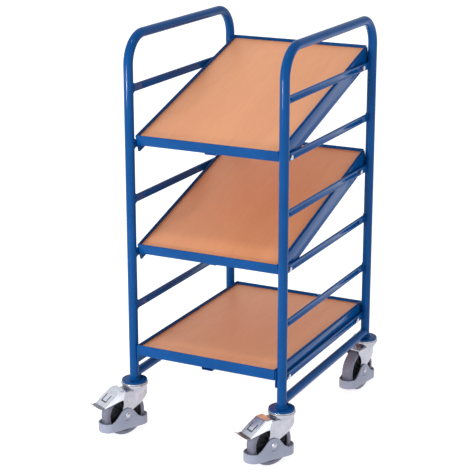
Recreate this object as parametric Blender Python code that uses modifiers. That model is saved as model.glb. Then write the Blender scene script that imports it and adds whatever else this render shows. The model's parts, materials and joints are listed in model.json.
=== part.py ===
"""Book cart: two tubular side frames, one level and two tilted trays, and four swivel casters.

Metres, +Z up. The low, open front of the trays faces -Y, and +X is to the right of someone
standing there. The origin is on the floor, under the centre of the bounding box.
"""

import math

import bmesh
import bpy
from mathutils import Matrix, Vector

GAP = 0.0003  # clearance between pieces that touch on the real cart
MARGIN = 0.02  # how far a cutter runs past what it cuts

# Side frames
HALF_WIDTH = 0.2245  # centre plane of a side frame
HALF_DEPTH = 0.297  # centre line of an upright
TUBE_RADIUS = 0.013
TUBE_WALL = 0.002
BEND_RADIUS = 0.078
HANDLE_HEIGHT = 1.106
RUNG_COUNT = 6
RUNG_PITCH = 0.150
LOWEST_RUNG_HEIGHT = 0.220
RUNG_THICKNESS = 0.0065
RUNG_HEIGHT = 0.021
RUNG_EDGE = 0.0015
RUNG_INSET = TUBE_RADIUS - RUNG_THICKNESS / 2  # rungs lie flush with the tubes' inner side
BASE_TUBE_RADIUS = 0.0125
BASE_TUBE_HEIGHT = 0.1683

# Trays: steel angle rims that hold a board
TRAY_WIDTH = 0.4156
TRAY_LENGTH = 0.617
RIM_HEIGHT = 0.030
RIM_THICKNESS = 0.003
LEDGE_WIDTH = 0.025
RIM_ABOVE_BOARD = 0.009
STIFFENER_WIDTH = 0.034
STIFFENER_DEPTH = 0.014
STIFFENER_SETBACK = 0.016
SIDE_PLATE_THICKNESS = 0.0034
SIDE_PLATE_FROM_END = 0.004
SIDE_PLATE_TOP = -0.004  # below the rim's top edge
SIDE_PLATE_BOTTOM = -0.053
SIDE_PLATE_CORNER = 0.005
JOIN_OVERLAP = 0.001  # how far joined shapes of a tray run into each other
BOARD_EDGE = 0.0006

# Tray bolts
BOLT_Y = 0.2425  # along the rungs, each way from the middle
BOLT_RADIUS = 0.004
BOLT_HOLE_RADIUS = 0.0046
BOLT_DROP = 0.039  # below the rim's top edge
BOLT_HEAD_RADIUS = 0.0075
BOLT_HEAD_HEIGHT = 0.0053
NUT_HEIGHT = 0.0065
BOLT_PROUD = 0.002  # thread past the nut

# Casters. Heights are above the floor, and trail is measured back from the swivel axis.
WHEEL_RADIUS = 0.0625
WHEEL_STEPS = 24
TYRE_HALF_WIDTH = 0.016
TYRE_SHOULDER = 0.006
TYRE_BORE = 0.050
CORE_RADIUS = 0.0497
CORE_HALF_WIDTH = 0.0145
CORE_BORE = 0.0053
CORE_WEB = 0.007
HUB_HALF_WIDTH = 0.0165
HUB_RADIUS = 0.013
TRAIL = 0.040
FLANGE_RADIUS = 0.0352
FLANGE_TOP = 0.1528
FLANGE_BOTTOM = 0.148
FLANGE_EDGE = 0.0012
FLANGE_STEPS = 20
CUP_RADIUS = 0.0365
CUP_BOTTOM = 0.1442
KING_PIN_RADIUS = 0.006
KING_PIN_END = 0.133
CROWN_TOP = 0.131
CROWN_BOTTOM = 0.1275
CROWN_FRONT = -0.031
CROWN_REAR = 0.060
HEAD_RADIUS = 0.030  # where the fork's head meets its crown
FRONT_WALL_BOTTOM = 0.112
LEG_INSIDE = 0.0195
LEG_THICKNESS = 0.003
LEG_EYE_RADIUS = 0.016
AXLE_RADIUS = 0.005
AXLE_HEAD_RADIUS = 0.0085
AXLE_HEAD_HEIGHT = 0.0042
GUARD_HALF_LENGTH = 0.075
GUARD_HALF_WIDTH = 0.0272
GUARD_WALL = 0.0035
GUARD_BOTTOM = 0.021
GUARD_TOP = 0.047
LUG_RADIUS = 0.018
WEB_RECESS = 0.0002  # the guard's webs stand this far inside its ring's face
PEDAL_HALF_WIDTH = 0.025
PEDAL_THICKNESS = 0.0022
PEDAL_PIVOT = (0.050, 0.1335)
PEDAL_PIVOT_RADIUS = 0.0021
SKIRT_CLEARANCE = 0.0006  # between the pedal's skirts and the fork

# Where each caster's wheel trails, in degrees from +X, and whether it has a brake.
CASTERS = {
    "front_left": (-1, -1, 242.0, True),
    "front_right": (1, -1, 238.0, True),
    "rear_right": (1, 1, 260.0, False),
    "rear_left": (-1, 1, 252.0, False),
}
# Each tray's rung at the front and at the rear, counted from the lowest.
TRAYS = {"bottom": (0, 0), "middle": (2, 3), "top": (4, 5)}

FINISHES = {
    "blue_powder_coat": ((0.006, 0.095, 0.34), 0.35, 0.0),
    "beech_decor": ((0.72, 0.30, 0.15), 0.5, 0.0),
    "zinc_plate": ((0.62, 0.65, 0.70), 0.3, 1.0),
    "grey_guard": ((0.42, 0.44, 0.56), 0.45, 0.0),
    "grey_tyre": ((0.20, 0.20, 0.27), 0.7, 0.0),
    "dark_core": ((0.02, 0.02, 0.03), 0.5, 0.0),
}

ALONG_X = Matrix.Rotation(math.radians(90), 4, "Y")
ALONG_Y = Matrix.Rotation(math.radians(90), 4, "X")


# ---------------------------------------------------------------- scene and materials


def clear_scene():
    for obj in list(bpy.data.objects):
        bpy.data.objects.remove(obj, do_unlink=True)


def new_collection(name):
    collection = bpy.data.collections.new(name)
    bpy.context.scene.collection.children.link(collection)
    return collection


def make_materials():
    made = {}
    for name, (colour, roughness, metallic) in FINISHES.items():
        material = bpy.data.materials.new(name)
        material.use_nodes = True
        shader = material.node_tree.nodes["Principled BSDF"]
        shader.inputs["Base Color"].default_value = (*colour, 1.0)
        shader.inputs["Roughness"].default_value = roughness
        shader.inputs["Metallic"].default_value = metallic
        made[name] = material
    return made


# ---------------------------------------------------------------- shape helpers


def mesh_object(name, mesh, collection):
    obj = bpy.data.objects.new(name, mesh)
    collection.objects.link(obj)
    return obj


def from_bmesh(name, work):
    mesh = bpy.data.meshes.new(name)
    work.to_mesh(mesh)
    work.free()
    return mesh_object(name, mesh, cutters)


def box(low, high):
    """A box between two corners, in the collection of cutters until it becomes a part."""
    low, high = Vector(low), Vector(high)
    size = Matrix.Diagonal((*(high - low), 1.0))
    work = bmesh.new()
    bmesh.ops.create_cube(work, size=1.0, matrix=Matrix.Translation((low + high) / 2) @ size)
    return from_bmesh("box", work)


def cylinder(radius, low, high, turn=None, place=(0, 0, 0), sides=16, top_radius=None):
    """A cylinder or cone from low to high along Z, then turned and moved to its place."""
    middle = Matrix.Translation((0, 0, (low + high) / 2))
    matrix = Matrix.Translation(place) @ (turn or Matrix()) @ middle
    work = bmesh.new()
    bmesh.ops.create_cone(
        work,
        cap_ends=True,
        segments=sides,
        radius1=radius,
        radius2=radius if top_radius is None else top_radius,
        depth=high - low,
        matrix=matrix,
    )
    return from_bmesh("cylinder", work)


def curve_object(name, splines, dimensions):
    """A curve with one POLY spline for each (points, cyclic)."""
    curve = bpy.data.curves.new(name, "CURVE")
    curve.dimensions = dimensions
    for points, cyclic in splines:
        spline = curve.splines.new("POLY")
        spline.points.add(len(points) - 1)
        for point, place in zip(spline.points, points):
            point.co = (*place, 1.0)
        spline.use_cyclic_u = cyclic
    return mesh_object(name, curve, cutters)


def baked(obj):
    """The object again with its curve or its modifiers made into one welded mesh."""
    graph = bpy.context.evaluated_depsgraph_get()
    mesh = bpy.data.meshes.new_from_object(obj.evaluated_get(graph))
    work = bmesh.new()
    work.from_mesh(mesh)
    bmesh.ops.remove_doubles(work, verts=work.verts, dist=1e-6)
    work.to_mesh(mesh)
    work.free()
    made = mesh_object(obj.name, mesh, cutters)
    made.matrix_world = obj.matrix_world
    bpy.data.objects.remove(obj, do_unlink=True)
    return made


def with_boolean(obj, tools, operation):
    """The object cut by, or joined with, each of the tools, which are used up."""
    for tool in tools:
        modifier = obj.modifiers.new(operation.lower(), "BOOLEAN")
        modifier.operation = operation
        modifier.object = tool
        modifier.solver = "EXACT"
    obj = baked(obj)
    for tool in tools:
        bpy.data.objects.remove(tool, do_unlink=True)
    return obj


def with_bevel(obj, width, segments=2, angle=40.0):
    modifier = obj.modifiers.new("bevel", "BEVEL")
    modifier.width = width
    modifier.segments = segments
    modifier.limit_method = "ANGLE"
    modifier.angle_limit = math.radians(angle)
    return baked(obj)


def hollow_tube(name, points, radius, bevel_resolution):
    """An open-ended tube with a real wall along the points."""
    obj = curve_object(name, [(points, False)], "3D")
    obj.data.bevel_depth = radius
    obj.data.bevel_resolution = bevel_resolution
    obj.data.use_fill_caps = False
    obj = baked(obj)
    modifier = obj.modifiers.new("wall", "SOLIDIFY")
    modifier.thickness = TUBE_WALL
    modifier.offset = -1.0
    modifier.use_rim = True
    return baked(obj)


def turned(name, profile, steps=WHEEL_STEPS, cyclic=True):
    """A profile turned about Z: (radius, height) points from the top down its outer side."""
    work = bmesh.new()
    points = [work.verts.new((radius, 0.0, height)) for radius, height in profile]
    for pair in zip(points, points[1:]):
        work.edges.new(pair)
    if cyclic:
        work.edges.new((points[-1], points[0]))
    obj = from_bmesh(name, work)
    modifier = obj.modifiers.new("turn", "SCREW")
    modifier.axis = "Z"
    modifier.steps = steps
    modifier.render_steps = steps
    modifier.use_merge_vertices = True
    modifier.merge_threshold = 1e-5
    return baked(obj)


def plate(name, splines, half_thickness):
    """A flat outline in XY, extruded both ways along Z."""
    obj = curve_object(name, splines, "2D")
    obj.data.fill_mode = "BOTH"
    obj.data.extrude = half_thickness
    return baked(obj)


def upright_plate(name, outline, inside, thickness, side):
    """A plate in the XZ plane whose outline is (x, z) points, standing to one side of Y = 0."""
    made = plate(name, [([(x, z, 0.0) for x, z in outline], True)], thickness / 2)
    made.data.transform(ALONG_Y)
    made.data.transform(Matrix.Translation((0, side * (inside + thickness / 2), 0)))
    return made


def arc(centre, radius, start, end, steps):
    """Points on an arc, with the angles in degrees."""
    points = []
    for step in range(steps + 1):
        angle = math.radians(start + (end - start) * step / steps)
        points.append((centre[0] + radius * math.cos(angle), centre[1] + radius * math.sin(angle)))
    return points


def stadium(half_length, half_width, centre_x, steps=6):
    """An oblong with round ends, as (x, y, 0) points."""
    reach = half_length - half_width
    ends = arc((centre_x + reach, 0), half_width, -90, 90, steps)
    ends += arc((centre_x - reach, 0), half_width, 90, 270, steps)
    return [(x, y, 0.0) for x, y in ends]


def finish_part(obj, name, material, parent=None, location=(0, 0, 0), rotation=(0, 0, 0)):
    """Names a finished shape, gives it its material and moves it to the parts' collection."""
    obj.name = name
    obj.data.name = name
    obj.data.materials.clear()
    obj.data.materials.append(material)
    obj.data.shade_smooth()
    obj.data.set_sharp_from_angle(angle=math.radians(35))
    cutters.objects.unlink(obj)
    cart.objects.link(obj)
    place(obj, parent, location, rotation)
    return obj


def copy_part(source, name, parent=None, location=(0, 0, 0), rotation=(0, 0, 0)):
    obj = mesh_object(name, source.data, cart)
    place(obj, parent, location, rotation)
    return obj


def place(obj, parent, location, rotation):
    obj.parent = parent
    obj.location = location
    obj.rotation_euler = rotation


def new_empty(name, location, rotation=(0, 0, 0), parent=None):
    empty = bpy.data.objects.new(name, None)
    empty.empty_display_size = 0.03
    cart.objects.link(empty)
    place(empty, parent, location, rotation)
    return empty


# ---------------------------------------------------------------- side frames


def rung_height(index):
    return LOWEST_RUNG_HEIGHT + index * RUNG_PITCH


def upright_cutters():
    """Cylinders that cope a rung or base tube to the two uprights, on the side frame's plane."""
    return [
        cylinder(TUBE_RADIUS + GAP, 0, HANDLE_HEIGHT, place=(0, end * HALF_DEPTH, 0), sides=32)
        for end in (-1, 1)
    ]


def bolt_hole(low, high, y, z):
    return cylinder(BOLT_HOLE_RADIUS, low, high, turn=ALONG_X, place=(0, y, z), sides=10)


def hoop_path():
    """The centre line of a side frame's bent tube, from foot to foot."""
    foot = FLANGE_TOP + GAP
    reach = HALF_DEPTH - BEND_RADIUS
    shoulder = HANDLE_HEIGHT - BEND_RADIUS
    path = [(-HALF_DEPTH, foot)]
    path += arc((-reach, shoulder), BEND_RADIUS, 180, 90, 6)
    path += arc((reach, shoulder), BEND_RADIUS, 90, 0, 6)
    path += [(HALF_DEPTH, foot)]
    return [(0.0, y, z) for y, z in path]


def make_hoop():
    return hollow_tube("hoop", hoop_path(), TUBE_RADIUS, 4)


def make_rung():
    """A flat bar coped to both uprights, with a bolt hole near each end."""
    half = Vector((RUNG_THICKNESS / 2, HALF_DEPTH, RUNG_HEIGHT / 2))
    bar = with_bevel(box(-half, half), RUNG_EDGE, 1)
    cut = upright_cutters()
    for cutter in cut:
        cutter.data.transform(Matrix.Translation((RUNG_INSET, 0, -HANDLE_HEIGHT / 2)))
    for end in (-1, 1):
        cut.append(bolt_hole(-MARGIN, MARGIN, end * BOLT_Y, 0))
    return with_boolean(bar, cut, "DIFFERENCE")


def make_base_tube():
    ends = [(0.0, -HALF_DEPTH, BASE_TUBE_HEIGHT), (0.0, HALF_DEPTH, BASE_TUBE_HEIGHT)]
    tube = hollow_tube("base_tube", ends, BASE_TUBE_RADIUS, 4)
    return with_boolean(tube, upright_cutters(), "DIFFERENCE")


def make_flange():
    """The round plate under an upright, with the caster's fixed cup and king pin below it."""
    profile = [
        (0.0, FLANGE_TOP),
        (FLANGE_RADIUS - FLANGE_EDGE, FLANGE_TOP),
        (FLANGE_RADIUS, FLANGE_TOP - FLANGE_EDGE),
        (FLANGE_RADIUS, FLANGE_BOTTOM),
        (CUP_RADIUS, FLANGE_BOTTOM - FLANGE_EDGE),
        (CUP_RADIUS, CUP_BOTTOM),
        (KING_PIN_RADIUS, CUP_BOTTOM),
        (KING_PIN_RADIUS, KING_PIN_END),
        (0.0, KING_PIN_END),
    ]
    return turned("flange", profile, FLANGE_STEPS, cyclic=False)


def build_side_frames(materials):
    blue = materials["blue_powder_coat"]
    hoop = base = rung = None
    for side, sign in (("left", -1), ("right", 1)):
        plane = sign * HALF_WIDTH
        if hoop is None:
            hoop = finish_part(make_hoop(), f"hoop_{side}", blue, location=(plane, 0, 0))
            base = finish_part(make_base_tube(), f"base_tube_{side}", blue, location=(plane, 0, 0))
        else:
            copy_part(hoop, f"hoop_{side}", location=(plane, 0, 0))
            copy_part(base, f"base_tube_{side}", location=(plane, 0, 0))
        # The rungs' ends are coped on their outer side, so the left ones are turned round.
        rotation = (0, 0, 0 if sign > 0 else math.pi)
        for index in range(RUNG_COUNT):
            name = f"rung_{side}_{index + 1}"
            location = (sign * (HALF_WIDTH - RUNG_INSET), 0, rung_height(index))
            if rung is None:
                rung = finish_part(make_rung(), name, blue, location=location, rotation=rotation)
            else:
                copy_part(rung, name, location=location, rotation=rotation)


# ---------------------------------------------------------------- trays


def tilted_hole_y():
    """The front bolt hole used on a tilted tray, along the tray from its middle."""
    return BOLT_Y - math.hypot(2 * BOLT_Y, RUNG_PITCH)


def make_side_plate(side):
    """The plate along one side of a tray, which the bolts pass through."""
    end = TRAY_LENGTH / 2 - SIDE_PLATE_FROM_END
    low = SIDE_PLATE_BOTTOM + SIDE_PLATE_CORNER
    outline = [(end, SIDE_PLATE_TOP), (-end, SIDE_PLATE_TOP)]
    outline += arc((SIDE_PLATE_CORNER - end, low), SIDE_PLATE_CORNER, 180, 270, 3)
    outline += arc((end - SIDE_PLATE_CORNER, low), SIDE_PLATE_CORNER, 270, 360, 3)
    thickness = SIDE_PLATE_THICKNESS + JOIN_OVERLAP
    made = plate("side_plate", [([(y, z, 0.0) for y, z in outline], True)], thickness / 2)
    # The outline's own X and Y become the tray's Y and Z.
    made.data.transform(Matrix(((0, 0, 1, 0), (1, 0, 0, 0), (0, 1, 0, 0), (0, 0, 0, 1))))
    middle = TRAY_WIDTH / 2 + SIDE_PLATE_THICKNESS - thickness / 2
    made.data.transform(Matrix.Translation((side * middle, 0, 0)))
    return made


def make_tray_frame():
    """An angle rim with a ledge, a plate along each side and a box stiffener underneath.

    Its origin is at the middle of the rim's top plane.
    """
    x, y = TRAY_WIDTH / 2, TRAY_LENGTH / 2
    frame = box((-x, -y, -RIM_HEIGHT), (x, y, 0))
    wall, ledge = RIM_THICKNESS, LEDGE_WIDTH
    seat = RIM_THICKNESS - RIM_HEIGHT
    recess = box((wall - x, wall - y, seat), (x - wall, y - wall, MARGIN))
    window = box((ledge - x, ledge - y, -RIM_HEIGHT - MARGIN), (x - ledge, y - ledge, MARGIN))
    frame = with_boolean(frame, [recess, window], "DIFFERENCE")
    half = STIFFENER_WIDTH / 2
    reach = y - STIFFENER_SETBACK
    stiffener_bottom = -RIM_HEIGHT - STIFFENER_DEPTH
    stiffener = box((-half, -reach, stiffener_bottom), (half, reach, seat - JOIN_OVERLAP))
    side_plates = [make_side_plate(side) for side in (-1, 1)]
    frame = with_boolean(frame, [stiffener, *side_plates], "UNION")
    bore_top = -RIM_HEIGHT - JOIN_OVERLAP
    bore = box((wall - half, -y, stiffener_bottom + wall), (half - wall, y, bore_top))
    places = [end * hole for end in (-1, 1) for hole in (BOLT_Y, tilted_hole_y())]
    holes = [bolt_hole(-x - MARGIN, MARGIN - x, place, -BOLT_DROP) for place in places]
    holes += [bolt_hole(x - MARGIN, x + MARGIN, place, -BOLT_DROP) for place in places]
    return with_boolean(frame, [bore, *holes], "DIFFERENCE")


def make_board():
    half_x = TRAY_WIDTH / 2 - RIM_THICKNESS - GAP
    half_y = TRAY_LENGTH / 2 - RIM_THICKNESS - GAP
    bottom = RIM_THICKNESS - RIM_HEIGHT + GAP
    board = box((-half_x, -half_y, bottom), (half_x, half_y, -RIM_ABOVE_BOARD))
    return with_bevel(board, BOARD_EDGE, 1)


def make_tray_bolt():
    """A hex bolt along +X, its head bearing on a rung and its nut inside the side plate.

    Its origin is on its axis, in the side frame's centre plane.
    """
    rung_face = RUNG_THICKNESS / 2 - RUNG_INSET + GAP
    head_top = rung_face + BOLT_HEAD_HEIGHT
    plate_face = TRAY_WIDTH / 2 - JOIN_OVERLAP - HALF_WIDTH - GAP
    nut_end = plate_face - NUT_HEIGHT
    head = cylinder(BOLT_HEAD_RADIUS, rung_face, head_top, turn=ALONG_X, sides=6)
    nut = cylinder(BOLT_HEAD_RADIUS, nut_end, plate_face, turn=ALONG_X, sides=6)
    shank_low = nut_end - BOLT_PROUD
    shank_high = head_top - BOLT_HEAD_HEIGHT / 2
    shank = cylinder(BOLT_RADIUS, shank_low, shank_high, turn=ALONG_X, sides=8)
    return with_boolean(shank, [head, nut], "UNION")


def build_trays(materials):
    frame = board = bolt = None
    blue = materials["blue_powder_coat"]
    beech = materials["beech_decor"]
    zinc = materials["zinc_plate"]
    for name, (front, rear) in TRAYS.items():
        rise = (rear - front) * RUNG_PITCH
        tilt = math.atan2(rise, 2 * BOLT_Y)
        # The rear bolt fixes the tray: the same rear hole serves both settings.
        hole = Vector((0, BOLT_Y, -BOLT_DROP))
        hole.rotate(Matrix.Rotation(tilt, 3, "X"))
        location = Vector((0, BOLT_Y, rung_height(rear))) - hole
        rotation = (tilt, 0, 0)
        pose = {"location": location, "rotation": rotation}
        if frame is None:
            frame = finish_part(make_tray_frame(), f"tray_frame_{name}", blue, **pose)
            board = finish_part(make_board(), f"tray_board_{name}", beech, **pose)
        else:
            copy_part(frame, f"tray_frame_{name}", **pose)
            copy_part(board, f"tray_board_{name}", **pose)
        for end, rung in (("front", front), ("rear", rear)):
            for side, sign in (("left", -1), ("right", 1)):
                bolt_name = f"tray_bolt_{name}_{end}_{side}"
                bolt_y = BOLT_Y if end == "rear" else -BOLT_Y
                spot = (sign * HALF_WIDTH, bolt_y, rung_height(rung))
                turn = (0, 0, 0 if sign > 0 else math.pi)
                if bolt is None:
                    bolt = finish_part(make_tray_bolt(), bolt_name, zinc, None, spot, turn)
                else:
                    copy_part(bolt, bolt_name, location=spot, rotation=turn)


# ---------------------------------------------------------------- casters
# A caster's own frame has its origin on the floor under the swivel axis, and +X is the way
# that its wheel trails.


def leg_outline():
    """A fork leg from the crown down round the axle, as (x, z) points."""
    outline = [(CROWN_REAR, CROWN_TOP), (CROWN_FRONT, CROWN_TOP)]
    outline += [(-0.028, 0.118), (-0.008, 0.091), (0.021, 0.072)]
    outline += arc((TRAIL, WHEEL_RADIUS), LEG_EYE_RADIUS, 190, 350, 8)
    outline += [(0.0555, 0.078), (0.053, 0.096), (CROWN_REAR, 0.109)]
    return outline


def make_fork():
    """A pressed fork: round head, crown, front wall and two legs in one piece."""
    half = LEG_INSIDE + LEG_THICKNESS
    head_top = CUP_BOTTOM - GAP
    head = cylinder(HEAD_RADIUS, CROWN_BOTTOM, head_top, sides=24, top_radius=CUP_RADIUS)
    crown = box((CROWN_FRONT, -half, CROWN_BOTTOM), (CROWN_REAR, half, CROWN_TOP))
    wall_back = CROWN_FRONT + LEG_THICKNESS
    front = box((CROWN_FRONT, -half, FRONT_WALL_BOTTOM), (wall_back, half, CROWN_TOP))
    outline = leg_outline()
    legs = [upright_plate("leg", outline, LEG_INSIDE, LEG_THICKNESS, side) for side in (-1, 1)]
    fork = with_boolean(crown, [head, front, *legs], "UNION")
    king_pin_bore = cylinder(KING_PIN_RADIUS + GAP, CROWN_BOTTOM - MARGIN, head_top + MARGIN)
    return with_boolean(fork, [king_pin_bore, axle_hole()], "DIFFERENCE")


def axle_hole():
    reach = GUARD_HALF_WIDTH + MARGIN
    place = (TRAIL, 0, WHEEL_RADIUS)
    return cylinder(AXLE_RADIUS + GAP, -reach, reach, turn=ALONG_Y, place=place, sides=16)


def lug_outline():
    """The guard's web, from its ring up round the axle bolt, as (x, z) points."""
    low = GUARD_BOTTOM + GUARD_WALL
    high = GUARD_TOP - GUARD_WALL / 2
    outline = [(-0.012, low), (0.092, low), (0.092, high), (0.070, 0.059)]
    outline += arc((TRAIL, WHEEL_RADIUS), LUG_RADIUS, 25, 150, 7)
    outline += [(0.012, 0.060), (-0.012, high)]
    return outline


def make_guard():
    """A foot guard: an oblong ring round the wheel with a web up to the axle on each side."""
    outer = stadium(GUARD_HALF_LENGTH, GUARD_HALF_WIDTH, TRAIL)
    inner = stadium(GUARD_HALF_LENGTH - GUARD_WALL, GUARD_HALF_WIDTH - GUARD_WALL, TRAIL)
    ring = plate("ring", [(outer, True), (inner, True)], (GUARD_TOP - GUARD_BOTTOM) / 2)
    ring.data.transform(Matrix.Translation((0, 0, (GUARD_TOP + GUARD_BOTTOM) / 2)))
    inside = LEG_INSIDE + LEG_THICKNESS + GAP
    thickness = GUARD_HALF_WIDTH - WEB_RECESS - inside
    outline = lug_outline()
    webs = [upright_plate("web", outline, inside, thickness, side) for side in (-1, 1)]
    guard = with_boolean(ring, webs, "UNION")
    return with_boolean(guard, [axle_hole()], "DIFFERENCE")


def make_axle():
    """The wheel's bolt across the fork, with a head at one end and a nut at the other."""
    face = GUARD_HALF_WIDTH + GAP
    end = face + AXLE_HEAD_HEIGHT
    reach = face + AXLE_HEAD_HEIGHT / 2
    shank = cylinder(AXLE_RADIUS, -reach, reach, turn=ALONG_Y, sides=16)
    head = cylinder(AXLE_HEAD_RADIUS, face, end, turn=ALONG_Y, sides=16)
    nut = cylinder(AXLE_HEAD_RADIUS, -end, -face, turn=ALONG_Y, sides=6)
    return with_boolean(shank, [head, nut], "UNION")


def wheel_turned(name, profile):
    """A turned wheel piece about the Y axis, with a flat of its rim facing the floor."""
    made = turned(name, profile)
    half_step = Matrix.Rotation(math.pi / WHEEL_STEPS, 4, "Z")
    made.data.transform(ALONG_Y @ half_step)
    return made


def make_tyre():
    flat_to_corner = 1 / math.cos(math.pi / WHEEL_STEPS)
    outer = WHEEL_RADIUS * flat_to_corner
    bore = TYRE_BORE * flat_to_corner
    shoulder = outer - TYRE_SHOULDER
    width = TYRE_HALF_WIDTH - TYRE_SHOULDER
    profile = [(bore, TYRE_HALF_WIDTH)]
    profile += arc((shoulder, width), TYRE_SHOULDER, 90, 0, 2)
    profile += arc((shoulder, -width), TYRE_SHOULDER, 0, -90, 2)
    profile += [(bore, -TYRE_HALF_WIDTH)]
    return wheel_turned("tyre", profile)


def make_core():
    """The wheel's core: a rim and a hub joined by a thinner web."""
    upper = [(CORE_BORE, HUB_HALF_WIDTH), (HUB_RADIUS, HUB_HALF_WIDTH), (0.016, CORE_WEB)]
    upper += [(0.041, CORE_WEB), (CORE_RADIUS, CORE_HALF_WIDTH)]
    lower = [(radius, -height) for radius, height in reversed(upper)]
    return wheel_turned("core", upper + lower)


def pedal_outline():
    """The pedal's bent strip from its pivot to its tip, as (x, z) points round the strip."""
    top = [(0.046, 0.1368), (0.062, 0.1362), (0.092, 0.1165), (0.110, 0.1010), (0.128, 0.1020)]
    below = [(x - 0.0006, z - PEDAL_THICKNESS) for x, z in reversed(top)]
    return top + below


def make_pedal():
    """A brake pedal: a bent plate with a skirt at each side and a pivot barrel."""
    width = 2 * PEDAL_HALF_WIDTH
    strip = upright_plate("strip", pedal_outline(), -PEDAL_HALF_WIDTH, width, 1)
    skirt = [(0.048, 0.1270), (0.048, 0.1355), (0.062, 0.1350), (0.092, 0.1155)]
    skirt += [(0.109, 0.1005), (0.112, 0.0975), (0.066, 0.1065), (0.060, 0.1210)]
    inside = LEG_INSIDE + LEG_THICKNESS + SKIRT_CLEARANCE
    thickness = PEDAL_HALF_WIDTH - WEB_RECESS - inside
    skirts = [upright_plate("skirt", skirt, inside, thickness, side) for side in (-1, 1)]
    pivot = (PEDAL_PIVOT[0], 0, PEDAL_PIVOT[1])
    reach = LEG_INSIDE + LEG_THICKNESS
    barrel = cylinder(PEDAL_PIVOT_RADIUS, -reach, reach, turn=ALONG_Y, place=pivot, sides=10)
    return with_boolean(strip, [*skirts, barrel], "UNION")


def caster_shapes(materials):
    """One object of each caster piece, kept out of the cart, whose meshes the casters share."""
    shapes = {
        "fork": (make_fork(), "zinc_plate"),
        "guard": (make_guard(), "grey_guard"),
        "axle": (make_axle(), "zinc_plate"),
        "tyre": (make_tyre(), "grey_tyre"),
        "core": (make_core(), "dark_core"),
        "pedal": (make_pedal(), "zinc_plate"),
        "flange": (make_flange(), "blue_powder_coat"),
    }
    # A pedal turns about its pivot, and the wheel's pieces about the axle.
    shapes["pedal"][0].data.transform(Matrix.Translation((-PEDAL_PIVOT[0], 0, -PEDAL_PIVOT[1])))
    for obj, finish in shapes.values():
        obj.data.materials.append(materials[finish])
        obj.data.shade_smooth()
        obj.data.set_sharp_from_angle(angle=math.radians(35))
    return {name: obj for name, (obj, finish) in shapes.items()}


def build_casters(materials):
    shapes = caster_shapes(materials)
    for corner, (side, end, trail_angle, braked) in CASTERS.items():
        spot = (side * HALF_WIDTH, end * HALF_DEPTH, 0)
        copy_part(shapes["flange"], f"flange_{corner}", location=spot)
        heading = (0, 0, math.radians(trail_angle))
        swivel = new_empty(f"swivel_{corner}", spot, heading)
        axle_spot = (TRAIL, 0, WHEEL_RADIUS)
        copy_part(shapes["fork"], f"fork_{corner}", swivel)
        copy_part(shapes["guard"], f"foot_guard_{corner}", swivel)
        copy_part(shapes["axle"], f"axle_{corner}", swivel, axle_spot)
        wheel = new_empty(f"wheel_{corner}", axle_spot, parent=swivel)
        copy_part(shapes["tyre"], f"tyre_{corner}", wheel)
        copy_part(shapes["core"], f"wheel_core_{corner}", wheel)
        if braked:
            pivot_spot = (PEDAL_PIVOT[0], 0, PEDAL_PIVOT[1])
            pivot = new_empty(f"pedal_pivot_{corner}", pivot_spot, parent=swivel)
            copy_part(shapes["pedal"], f"brake_pedal_{corner}", pivot)
    for obj in shapes.values():
        bpy.data.objects.remove(obj, do_unlink=True)


# ---------------------------------------------------------------- the whole cart


def centre_on_floor():
    """Moves the cart so that the origin is at the bottom centre of its bounding box."""
    bpy.context.view_layer.update()
    corners = [
        obj.matrix_world @ vertex.co
        for obj in cart.objects
        if obj.type == "MESH"
        for vertex in obj.data.vertices
    ]
    low = Vector([min(corner[axis] for corner in corners) for axis in range(3)])
    high = Vector([max(corner[axis] for corner in corners) for axis in range(3)])
    shift = Vector(((low.x + high.x) / 2, (low.y + high.y) / 2, low.z))
    for obj in cart.objects:
        if obj.parent is None:
            obj.location -= shift
    bpy.context.view_layer.update()


clear_scene()
cart = new_collection("book_cart")
cutters = new_collection("cutters")
finishes = make_materials()
build_side_frames(finishes)
build_trays(finishes)
build_casters(finishes)
centre_on_floor()
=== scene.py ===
"""Looks for the book cart: blue tubular frames, three board trays and four swivel casters."""

import json
import math

import bmesh
import bpy
from mathutils import Matrix, Vector


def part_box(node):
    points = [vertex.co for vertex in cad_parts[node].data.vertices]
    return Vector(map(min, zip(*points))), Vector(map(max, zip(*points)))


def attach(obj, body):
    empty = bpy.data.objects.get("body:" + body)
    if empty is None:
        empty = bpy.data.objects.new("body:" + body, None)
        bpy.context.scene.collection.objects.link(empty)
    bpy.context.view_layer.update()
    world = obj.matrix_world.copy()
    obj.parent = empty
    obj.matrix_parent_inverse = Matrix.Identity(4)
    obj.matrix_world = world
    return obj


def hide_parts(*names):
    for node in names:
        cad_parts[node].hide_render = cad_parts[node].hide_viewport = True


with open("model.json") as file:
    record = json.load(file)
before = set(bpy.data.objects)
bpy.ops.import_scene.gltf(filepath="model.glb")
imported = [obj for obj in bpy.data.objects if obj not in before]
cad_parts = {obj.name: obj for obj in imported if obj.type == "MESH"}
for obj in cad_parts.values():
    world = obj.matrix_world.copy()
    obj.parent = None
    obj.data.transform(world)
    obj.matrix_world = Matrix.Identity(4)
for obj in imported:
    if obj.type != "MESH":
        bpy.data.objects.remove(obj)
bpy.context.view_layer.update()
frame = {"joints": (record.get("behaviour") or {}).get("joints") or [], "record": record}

# ---------------------------------------------------------------- places and sizes, in metres

left_low, left_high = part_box("hoop_left")
right_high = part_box("hoop_right")[1]
CENTRE = Vector(((left_low.x + right_high.x) / 2, (left_low.y + left_high.y) / 2, 0))
AT_CENTRE = Matrix.Translation(CENTRE)

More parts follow.
